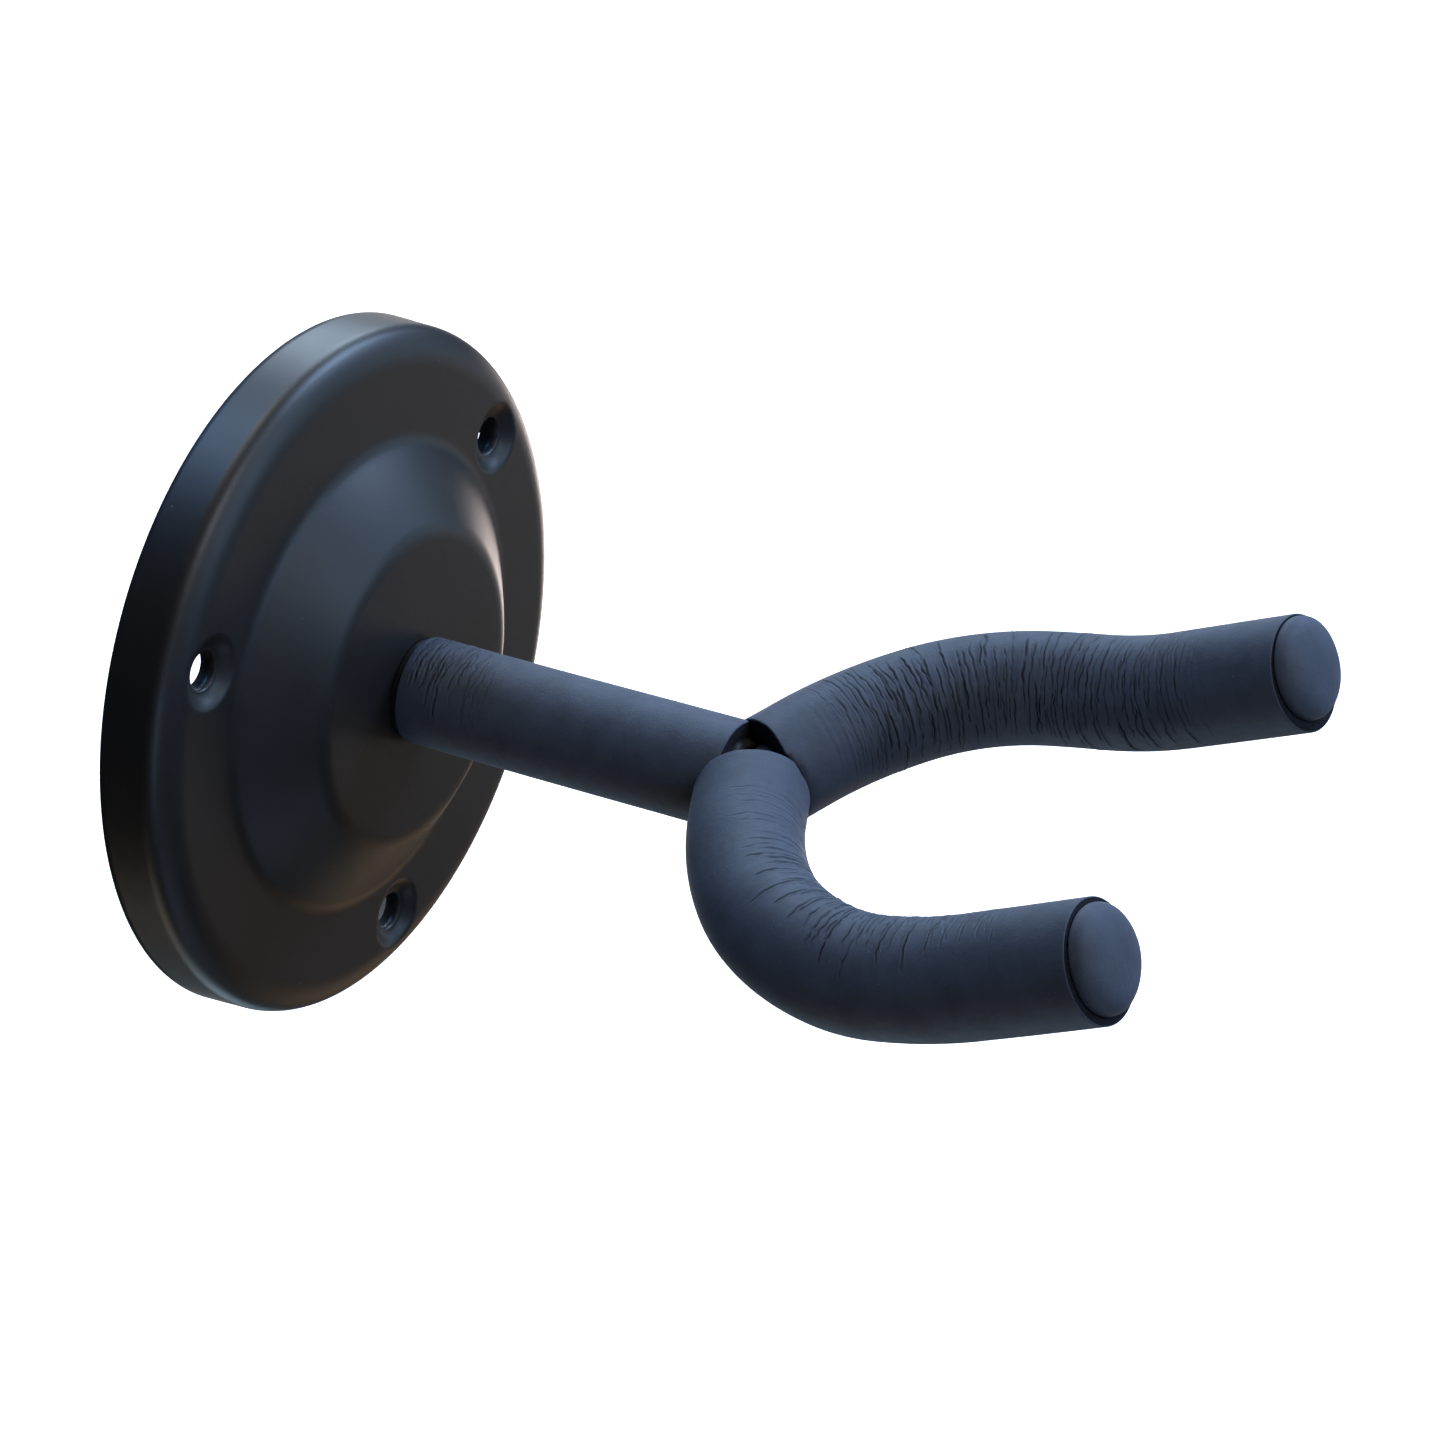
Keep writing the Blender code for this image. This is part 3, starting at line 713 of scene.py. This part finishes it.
class Creases:
    """Short ragged cracks across a foam tube where bending or pushing has squeezed it."""

    def __init__(self, seed):
        self.random = np.random.default_rng(seed)
        self.cracks = []

    def add(self, station, turn, half_turn, depth, width):
        """A crack round this turn: a jagged line whose depth comes and goes along it."""
        count = max(4, int(2 * half_turn / CRACK_KNOT_TURN))
        knots = np.linspace(-half_turn, half_turn, count)
        drift = np.cumsum(self.random.uniform(-CRACK_DRIFT, CRACK_DRIFT, count))
        jag = self.random.uniform(-CRACK_JAG, CRACK_JAG, count)
        strength = self.random.uniform(0.35, 1.0, count) * (self.random.random(count) > CRACK_BREAKS)
        self.cracks.append((station, turn, half_turn, depth, width, knots, drift + jag, strength))

    def relief(self, stations, turns):
        """How deep the cracks go and how far their lips rise at each station and turn."""
        grooves = np.zeros((len(stations), len(turns)))
        lips = np.zeros_like(grooves)
        for station, turn, half_turn, depth, width, knots, path, strength in self.cracks:
            away = (turns - turn + math.pi) % (2 * math.pi) - math.pi
            columns = np.abs(away) < half_turn
            rows = np.abs(stations - station) < CRACK_SPAN
            if not columns.any() or not rows.any():
                continue
            wander = np.interp(away[columns], knots, path)
            taper = np.clip(1 - (away[columns] / half_turn) ** 2, 0, 1) ** 0.4
            here = depth * taper * np.interp(away[columns], knots, strength)
            offset = np.abs(stations[rows][:, None] - station - wander) / width
            block = np.ix_(rows, columns)
            grooves[block] = np.maximum(grooves[block], here * np.exp(-offset ** 2))
            lip = LIP_SHARE * here * np.exp(-((offset - LIP_PLACE) / LIP_WIDTH) ** 2)
            lips[block] = np.maximum(lips[block], lip)
        return grooves, lips


def sleeve_rows(start, end, fine):
    """Stations from start to end, close together inside the fine stretch."""
    rows = [start]
    while rows[-1] < end:
        inside = fine[0] <= rows[-1] <= fine[1]
        rows.append(rows[-1] + (FINE_STEP if inside else COARSE_STEP))
    rows[-1] = end
    return np.array(rows)


def sleeve_section(rows, outer, start, end, edge):
    """Once round a tube's wall: stations, radii by turn, and 1 where the foam is cut and not skin.

    It runs along the outside, round the end's edge, in over the sawn end, back through the bore and
    out over the sawn start to its edge.
    """
    quarter = np.radians(np.linspace(0, 90, 6))[1:]
    shares = np.linspace(0, 1, 6)[1:]
    bore, mouth = ROD_RADIUS + GAP, ROD_RADIUS + GAP + BORE_MOUTH
    part = [(row, radii, 0) for row, radii in zip(rows, outer)]
    part += [(end - edge[1] * (1 - math.sin(a)), outer[-1] - edge[1] * (1 - math.cos(a)), 0)
             for a in quarter]
    part += [(end, (1 - share) * (outer[-1] - edge[1]) + share * mouth, 1) for share in shares]
    part += [(row, np.full(outer.shape[1], bore), 1)
             for row in np.linspace(end - BORE_MOUTH, start + BORE_MOUTH, 24)]
    part += [(start, (1 - share) * (outer[0] - edge[0]) + share * mouth, 1) for share in shares[::-1]]
    part += [(start + edge[0] * (1 - math.sin(a)), outer[0] - edge[0] * (1 - math.cos(a)), 0)
             for a in quarter[::-1]]
    stations, radii, cut = zip(*part)
    return np.array(stations), np.array(radii), np.array(cut)


def make_sleeve(name, node, route, radius, span, creases, shape, coats, sides, fine, edge, reach=0.0):
    """A foam tube with rounded edges, sawn ends and a bore for the rod.

    Its start reaches further along on the squeezed side, where it presses against the other fork's.
    """
    start, end = span
    turns = full_turn(sides)
    rows = sleeve_rows(start + edge[0], end - edge[1], fine)
    grooves, lips = creases.relief(rows, turns)
    outer = radius + shape(rows, turns) + lips - grooves
    stations, radii, cut = sleeve_section(rows, outer, start, end, edge)
    place, way, across, up = read_route(route, stations)
    points = (place[:, None] + radii[..., None] *
              (np.cos(turns)[None, :, None] * across[:, None] + np.sin(turns)[None, :, None] * up[:, None]))
    if reach:
        side = np.sign(place[-1, 0] + place[len(rows) // 2, 0])
        front = np.clip(-(points[..., 1] - place[:, None, 1]) / radius, 0, 1) ** 1.3
        fade = smooth_step(1 - (stations - start) / REACH_FADE)[:, None]
        points = points - (reach * front * fade)[..., None] * way[:, None]
        points[..., 0] = side * np.maximum(side * points[..., 0], SLEEVE_APART)
    sleeve = mesh_object(name, points, grid_faces(len(stations), sides, True), coats[0])
    # Sawn ends and bore take the second coat, whose darkness is partly the cut foam's own and partly
    # painted shade
    sleeve.data.materials.append(coats[1])
    is_cut = cut * np.roll(cut, -1) + (np.diff(np.append(cut, cut[0])) != 0)
    sleeve.data.polygons.foreach_set("material_index", np.repeat((is_cut > 0).astype(np.int32), sides))
    # Painted shade for the cracks: each point's groove depth, by which the foam's colour darkens
    crack = np.zeros((len(stations), sides))
    crack[:len(rows)] = np.clip(grooves / CRACK_SHADE_DEPTH, 0, 1)
    point_value(sleeve, "crack", crack)
    return finish_piece(sleeve, YOKE_BODY, "foam", node)


def gentle(seed, size):
    """A slow swell of a hand-fitted foam tube, as a function of stations and turns."""
    random = np.random.default_rng(seed)
    waves = [(random.uniform(60, 220), random.integers(1, 4), *random.uniform(0, 2 * math.pi, 2))
             for _ in range(6)]

    def shape(stations, turns):
        total = np.zeros((len(stations), len(turns)))
        for rate, lobes, first, second in waves:
            total += np.sin(rate * stations[:, None] + first) * np.cos(lobes * turns[None, :] + second)
        return total * size / len(waves)
    return shape


def arm_creases():
    """Cracks on the upper side that fade along the arm, where the sleeve is pushed against the plate."""
    creases = Creases(ARM_SEED)
    turns, half_turns, depths, widths = ARM_CRACKS
    draw = creases.random.uniform
    for number in range(ARM_CRACK_COUNT):
        fade = 1 - number / ARM_CRACK_FADE
        creases.add(ARM_CRACK_START + ARM_CRACK_STEP * number, math.radians(draw(*turns)),
                    math.radians(draw(*half_turns)), fade * draw(*depths), draw(*widths))
    return creases


def cracked_side(side):
    """Turn angle of the cracked side of a fork: towards the throat and a little up."""
    return math.atan2(THROAT_LEAN[side], -side)


def tightness(route, stations):
    """How tightly the route bends at each station, as one over the radius."""
    table, _, ways = route
    return np.interp(stations, table, np.linalg.norm(np.gradient(ways, table, axis=0), axis=1))


def fork_creases(route, side, seed, first, last, growth, climb):
    """Cracks on the squeezed side of a bent fork, growing over this length from the first station.

    Past the bend they climb by this angle towards the top, and deepen by as large a share.
    """
    creases = Creases(seed)
    offsets, half_turns, depths, widths = FORK_CRACKS
    draw = creases.random.uniform
    station, row = first, 0
    while station < last:
        strength = min(1.0, 0.65 + tightness(route, [station])[0] / 70)
        strength *= 0.25 + 0.75 * smooth_step((station - first) / growth)
        strength *= smooth_step((last - station) / FORK_CRACK_FADE + 0.15)
        past = smooth_step((station - CLIMB_SPAN[0]) / (CLIMB_SPAN[1] - CLIMB_SPAN[0]))
        strength *= 1 + climb * past
        for place in FORK_CRACK_PLACES[row % 3]:
            turn = cracked_side(side) - side * (place + climb * past) + draw(*offsets)
            creases.add(station + draw(-FORK_CRACK_SHIFT, FORK_CRACK_SHIFT), turn, draw(*half_turns),
                        strength * draw(*depths), draw(*widths))
        station += draw(*FORK_CRACK_STEP)
        row += 1
    return creases


def fork_shape(route, side, seed):
    """Slow swells, with soft puckers across the squeezed side."""
    base = gentle(seed, SWELL)
    random = np.random.default_rng(seed + 1)
    phases = random.uniform(0, 2 * math.pi, 3)

    def shape(stations, turns):
        away = (turns[None, :] - cracked_side(side) + math.pi) % (2 * math.pi) - math.pi
        reach = np.exp(-(away / 0.8) ** 2) * np.clip(tightness(route, stations) / 35, 0, 1)[:, None]
        ripple = sum(np.sin(rate * stations[:, None] + phase + 1.5 * np.sin(1.7 * turns[None, :] + phase))
                     for rate, phase in zip(PUCKER_RATES, phases)) / len(PUCKER_RATES)
        return base(stations, turns) + PUCKER_DEPTH * reach * ripple
    return shape


# Tip caps

def make_cap(name, node, route, coat, lean, seed):
    """A soft domed cap on its stem; lean moves the dome up."""
    crown = [(CAP_RADIUS * math.cos(a) ** 0.8, CAP_HEIGHT * math.sin(a) ** 0.85)
             for a in np.radians(np.linspace(0, 89, 36))]
    rim = [(CAP_RADIUS - CAP_EDGE * (1 - math.cos(a)), -CAP_EDGE * math.sin(a))
           for a in np.radians(np.linspace(90, 10, 7))]
    profile = [(CAP_STEM_RADIUS, -CAP_STEM_LENGTH), (CAP_STEM_RADIUS, -CAP_EDGE - 0.01 * MM)] + rim + crown
    turns = full_turn(CAP_SIDES)
    radius, height = np.array(profile).T
    place, way, across, up = (part[0] for part in read_route(route, np.array([FORK_LENGTH])))
    base = place + CAP_LIFT * way
    ripple = 1 + 0.006 * np.sin(3 * turns + seed) + 0.004 * np.sin(5 * turns + 2 * seed)
    rippled = radius[:, None] * np.where(height[:, None] > -0.4 * MM, ripple, 1.0)
    points = (base + height[:, None, None] * way + rippled[..., None] *
              (np.cos(turns)[None, :, None] * across + np.sin(turns)[None, :, None] * up))
    shift = smooth_step(height / (1.5 * MM) + 1)[:, None, None]
    points = points + shift * lean * up
    cap = mesh_object(name, points, closed_faces(len(profile), CAP_SIDES), coat)
    # The cap has no cracks, so it gets no painted crack shade
    point_value(cap, "crack", np.zeros(len(cap.data.vertices)))
    return finish_piece(cap, YOKE_BODY, "cap_foam", node)


# Rods, weld, washers and nut

def make_arm_rod(coat):
    """The arm's rod with a real thread on its tail."""
    sides = THREAD_SIDES
    thread_end = BOSS_HEIGHT - SHEET
    count = int((thread_end - ROD_END) / THREAD_PITCH * ROWS_PER_THREAD)
    rows = np.linspace(ROD_END, thread_end, count)
    turns = full_turn(sides)
    phase = (rows[:, None] / THREAD_PITCH - turns[None, :] / (2 * math.pi)) % 1.0
    cut = THREAD_DEPTH * np.clip(1 - np.abs(2 * phase - 1) * 1.25, 0, 1)
    fade = smooth_step((rows - ROD_END) / TAIL_TAPER)[:, None]
    radius = np.minimum(THREAD_RADIUS - cut, THREAD_RADIUS - TAIL_CHAMFER * (1 - fade))
    shank = [(thread_end + GAP, ROD_RADIUS), (JUNCTION - ROD_RADIUS, ROD_RADIUS)]
    stations = np.concatenate([rows, [s for s, _ in shank]])
    radii = np.concatenate([radius, [np.full(sides, r) for _, r in shank]])
    points = np.stack([radii * np.cos(turns), np.broadcast_to(-stations[:, None], radii.shape),
                       radii * np.sin(turns)], -1)
    rod = mesh_object("threaded_arm_rod", points, closed_faces(len(stations), sides), coat, 50)
    return finish_piece(rod, YOKE_BODY, "black_steel", "arm_rod")


def make_weld(coat):
    """A lumpy weld bead round the rod's end, against the yoke bar."""
    low, high = heights("yoke_weld")
    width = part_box("yoke_weld")[1].x
    sides = 72
    turns = full_turn(sides)
    inner = ROD_RADIUS + GAP
    profile = [(inner, low), (width - 0.9 * MM, low + 0.1 * MM), (width - 0.3 * MM, low + 0.8 * MM),
               (width, low + 1.8 * MM), (width, high - 1.0 * MM), (width - 0.5 * MM, high), (inner, high)]
    points = turned_points(profile, sides)
    ripple = 0.12 * MM * np.sin(17 * turns) + 0.08 * MM * np.sin(29 * turns + 1)
    lumps = np.array([0, 1, 1, 1, 1, 1, 0])[:, None] * ripple
    points += np.stack([lumps * np.cos(turns) * 0.5, lumps, lumps * np.sin(turns) * 0.5], -1)
    weld = mesh_object("weld_bead", points, grid_faces(len(profile), sides, True), coat)
    return finish_piece(weld, YOKE_BODY, "black_steel", "yoke_weld")


def make_washer(name, node, size, edge, coat, slot):
    """A flat washer with rounded outer edges; size is its start, its end and its outer radius."""
    start, end, outer = size
    inner = ROD_RADIUS + GAP
    profile = [(inner, start + edge), (inner + edge, start), (outer - edge, start)]
    profile += arc((outer - edge, start + edge), edge, -90, 0, 4)[1:]
    profile += arc((outer - edge, end - edge), edge, 0, 90, 4)
    profile += [(inner + edge, end), (inner, end - edge)]
    washer = turned(name, profile, 96, coat)
    return finish_piece(washer, YOKE_BODY, slot, node)


def make_spring_washer(coat):
    """A split ring, its cut ends a little out of line."""
    start, end, outer = SPRING_WASHER
    inner = ROD_RADIUS + GAP
    split = math.radians(5)
    turns = np.linspace(split, 2 * math.pi - split, 90)
    rise = (turns / (2 * math.pi) - 0.5) * 0.25 * MM
    low, high = start + 0.15 * MM, end - 0.15 * MM
    corners = [(inner, low), (outer, low), (outer, high), (inner, high)]
    radius, height = np.array(corners).T
    skew = math.radians(6) * np.array([0, 0, 1, 1])
    angle = turns[None, :] + skew[:, None]
    points = np.stack([radius[:, None] * np.cos(angle), -(height[:, None] + rise[None, :]),
                       radius[:, None] * np.sin(angle)], -1)
    count = len(turns)
    faces = [[i * count + j, i * count + j + 1, (i + 1) % 4 * count + j + 1, (i + 1) % 4 * count + j]
             for i in range(4) for j in range(count - 1)]
    faces += [[i * count for i in range(4)], [i * count + count - 1 for i in range(3, -1, -1)]]
    washer = mesh_object("split_spring_washer", points, faces, coat, 35)
    soften(washer, 0.12 * MM)
    return finish_piece(washer, YOKE_BODY, "black_steel", "spring_washer")


def soften(obj, width, angle=40):
    """Rounds the object's hard edges by this width."""
    bevel = obj.modifiers.new("soft_edges", "BEVEL")
    bevel.width = width
    bevel.segments = 2
    bevel.limit_method = "ANGLE"
    bevel.angle_limit = math.radians(angle)


def make_nut(coat):
    """A hexagon lock nut: cone-turned corners, and a collar that holds the nylon ring."""
    sides = NUT_SIDES
    turns = full_turn(sides)
    sixth = (turns + math.pi / 6) % (math.pi / 3) - math.pi / 6
    hexagon = NUT_ACROSS_FLATS / 2 / np.cos(sixth)
    slope = math.tan(math.radians(30))
    shoulder = INSERT_END + GAP
    top = NUT_END - slope * np.clip(hexagon - NUT_FACE_RADIUS, 0, None)
    low = shoulder + slope * np.clip(hexagon - NUT_COLLAR_RADIUS, 0, None)
    bore, mouth = THREAD_RADIUS + 0.1 * MM, 5.5 * MM
    ring = np.ones(sides)
    rows = [
        (bore, NUT_END - 0.4 * MM),
        (bore + 0.45 * MM, NUT_END),
        (np.minimum(NUT_FACE_RADIUS, hexagon), NUT_END),
        (hexagon, top),
        (hexagon, low),
        (NUT_COLLAR_RADIUS, shoulder),
        (NUT_COLLAR_RADIUS, NUT_START + 0.7 * MM),
        (NUT_COLLAR_RADIUS - 0.25 * MM, NUT_START + 0.2 * MM),
        (NUT_COLLAR_RADIUS - 0.6 * MM, NUT_START),
        (mouth, NUT_START + 0.15 * MM),
        (mouth, shoulder),
        (bore, shoulder),
    ]
    radius, height = (np.array([row[i] * ring for row in rows]) for i in (0, 1))
    points = np.stack([radius * np.cos(turns), -height, radius * np.sin(turns)], -1)
    nut = mesh_object("hexagon_lock_nut", points, grid_faces(len(rows), sides, True), coat, 18)
    return finish_piece(nut, YOKE_BODY, "zinc_plate", "lock_nut")


def make_insert(coat):
    """The nylon ring in the nut's collar, rounded on the wall side."""
    inner, start = THREAD_RADIUS - 0.05 * MM, INSERT_START + INSERT_ROUND
    profile = [(inner, INSERT_END), (inner, start)]
    profile += arc((inner + INSERT_ROUND, start), INSERT_ROUND, 180, 270, 5)[1:]
    profile += arc((INSERT_RADIUS - INSERT_ROUND, start), INSERT_ROUND, 270, 360, 5)
    profile += [(INSERT_RADIUS, INSERT_END)]
    insert = turned("nylon_locking_ring", profile, 96, coat)
    return finish_piece(insert, YOKE_BODY, "nylon", "nylon_insert")


# Stage

def add_lights():
    """Round soft lights about the hanger, out of the camera's sight."""
    for number, (direction, size, colour, power) in enumerate(LIGHTS):
        data = bpy.data.lights.new(f"softbox_{number}", "AREA")
        data.shape = "DISK"
        data.size = size
        data.energy = power
        data.color = colour
        light = bpy.data.objects.new(data.name, data)
        way = Vector(direction).normalized()
        light.location = AIM + way * LIGHT_DISTANCE
        light.rotation_mode = "QUATERNION"
        light.rotation_quaternion = way.to_track_quat("Z", "Y")
        light.visible_camera = False
        bpy.context.scene.collection.objects.link(light)


def add_world():
    """White as the camera sees it, and only a faint cool light on the hanger."""
    world = bpy.data.worlds.new("studio")
    bpy.context.scene.world = world
    world.use_nodes = True
    tree = world.node_tree
    shown = tree.nodes["Background"]
    lit = tree.nodes.new("ShaderNodeBackground")
    for node, (colour, strength) in ((shown, ((1, 1, 1, 1), 1.0)), (lit, SKY_LIGHT)):
        node.inputs["Color"].default_value = colour
        node.inputs["Strength"].default_value = strength
    path = tree.nodes.new("ShaderNodeLightPath")
    mix = tree.nodes.new("ShaderNodeMixShader")
    tree.links.new(path.outputs["Is Camera Ray"], mix.inputs["Fac"])
    tree.links.new(lit.outputs["Background"], mix.inputs[1])
    tree.links.new(shown.outputs["Background"], mix.inputs[2])
    tree.links.new(mix.outputs["Shader"], tree.nodes["World Output"].inputs["Surface"])


def add_floor():
    """A wide pale floor well below the hanger, which neither lights nor darkens it."""
    made, tree, shader = new_material("pale_floor", (0.93, 0.93, 0.93), 0.9, specular=0.1)
    shader.inputs["Emission Color"].default_value = (1, 1, 1, 1)
    shader.inputs["Emission Strength"].default_value = FLOOR_GLOW
    grey = spread(tree, noise(tree, 3, 3), 0.90, 0.95)
    colour = tree.nodes.new("ShaderNodeCombineColor")
    for channel in ("Red", "Green", "Blue"):
        tree.links.new(grey, colour.inputs[channel])
    tree.links.new(colour.outputs["Color"], shader.inputs["Base Color"])
    corners = [(x * FLOOR_REACH, y * FLOOR_REACH, FLOOR_HEIGHT)
               for x, y in ((-1, -1), (1, -1), (1, 1), (-1, 1))]
    mesh = bpy.data.meshes.new("floor")
    mesh.from_pydata(corners, [], [(0, 1, 2, 3)])
    mesh.materials.append(made)
    floor = bpy.data.objects.new("floor", mesh)
    bpy.context.scene.collection.objects.link(floor)
    floor.visible_diffuse = False
    floor.visible_glossy = False
    floor.visible_shadow = False


def add_camera():
    """A long lens from the left, above and in front, rolled a little."""
    azimuth, elevation, roll = (math.radians(a) for a in CAMERA_ANGLES)
    back = Vector((math.sin(azimuth) * math.cos(elevation), -math.cos(azimuth) * math.cos(elevation),
                   math.sin(elevation)))
    right = Vector((0, 0, 1)).cross(back).normalized()
    turn = Matrix((right, back.cross(right), back)).transposed() @ Matrix.Rotation(roll, 3, "Z")
    data = bpy.data.cameras.new("camera")
    data.lens = CAMERA_LENS
    data.sensor_width = SENSOR_WIDTH
    data.clip_start = 0.01
    data.clip_end = 50
    camera = bpy.data.objects.new("camera", data)
    camera.matrix_world = Matrix.Translation(CAMERA_PLACE) @ turn.to_4x4()
    bpy.context.scene.collection.objects.link(camera)
    bpy.context.scene.camera = camera


def main():
    bpy.context.scene.view_settings.view_transform = "Standard"
    add_camera()
    add_world()
    add_lights()
    add_floor()
    steel, bright, coats = black_steel(), zinc(), (foam(), cut_foam_and_painted_shade())
    make_plate(plate_paint())
    make_washer("black_hub_washer", "front_washer", FRONT_WASHER, 0.15 * MM, black_plastic(),
                "black_plastic")
    make_washer("zinc_flat_washer", "flat_washer", FLAT_WASHER, 0.2 * MM, bright, "zinc_plate")
    make_spring_washer(steel)
    make_nut(bright)
    make_insert(nylon())
    make_arm_rod(steel)
    make_weld(steel)
    for node in ("arm_collar", "yoke_bar"):
        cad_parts[node].data.materials.clear()
        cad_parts[node].data.materials.append(steel)
    make_sleeve("arm_foam_sleeve", "arm_sleeve", arm_route(), ARM_SLEEVE_RADIUS,
                (-CLOSE_UP, ARM_SLEEVE_END - ARM_SLEEVE_START), arm_creases(), gentle(5, ARM_SWELL),
                coats, ARM_SIDES, ARM_FINE, ARM_EDGE)
    for name, side, seed, start, cracked, climb, lean in FORKS:
        route = fork_route(side)
        make_sleeve(f"{name}_fork_foam_sleeve", f"{name}_fork_sleeve", route, FORK_SLEEVE_RADIUS,
                    (start, FORK_LENGTH), fork_creases(route, side, seed, *cracked, climb),
                    fork_shape(route, side, seed), coats, FORK_SIDES, FORK_FINE, FORK_EDGE, START_REACH)
        make_cap(f"{name}_domed_tip_cap", f"{name}_tip_cap", route, coats[0], lean, seed)


main()
